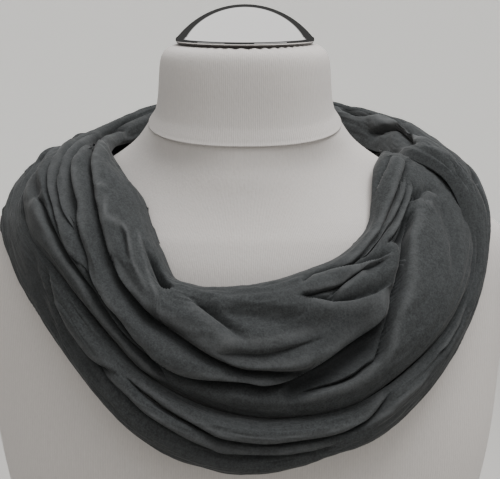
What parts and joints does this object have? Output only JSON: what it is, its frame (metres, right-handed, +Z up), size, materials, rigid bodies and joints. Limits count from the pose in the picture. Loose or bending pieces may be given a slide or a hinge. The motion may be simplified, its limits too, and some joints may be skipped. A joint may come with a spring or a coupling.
{
  "type": "infinity scarf on a limbless bust form",
  "caption": "Closed loop of soft cloth wound twice round the neck of a limbless display bust, in deep slanting folds, crossing on one shoulder.",
  "frame": {"origin": "on the surface that the bust stands on, under the middle of the whole part", "axes": "+Z up through the neck, the front of the bust faces -Y, +X to the right of someone who faces the part"},
  "size_m": [0.3632, 0.2678, 0.4638],
  "materials": {
    "cloth": "matte woven viscose, slate grey",
    "jersey": "matte ribbed jersey, off-white",
    "cap": "polished"
  },
  "bodies": {
    "root": {"bust_torso": "jersey", "bust_neck": "jersey", "neck_cap": "cap", "scarf_upper_front": "cloth", "scarf_upper_nape": "cloth", "scarf_lower_front": "cloth", "scarf_lower_back": "cloth"}
  },
  "joints": []
}
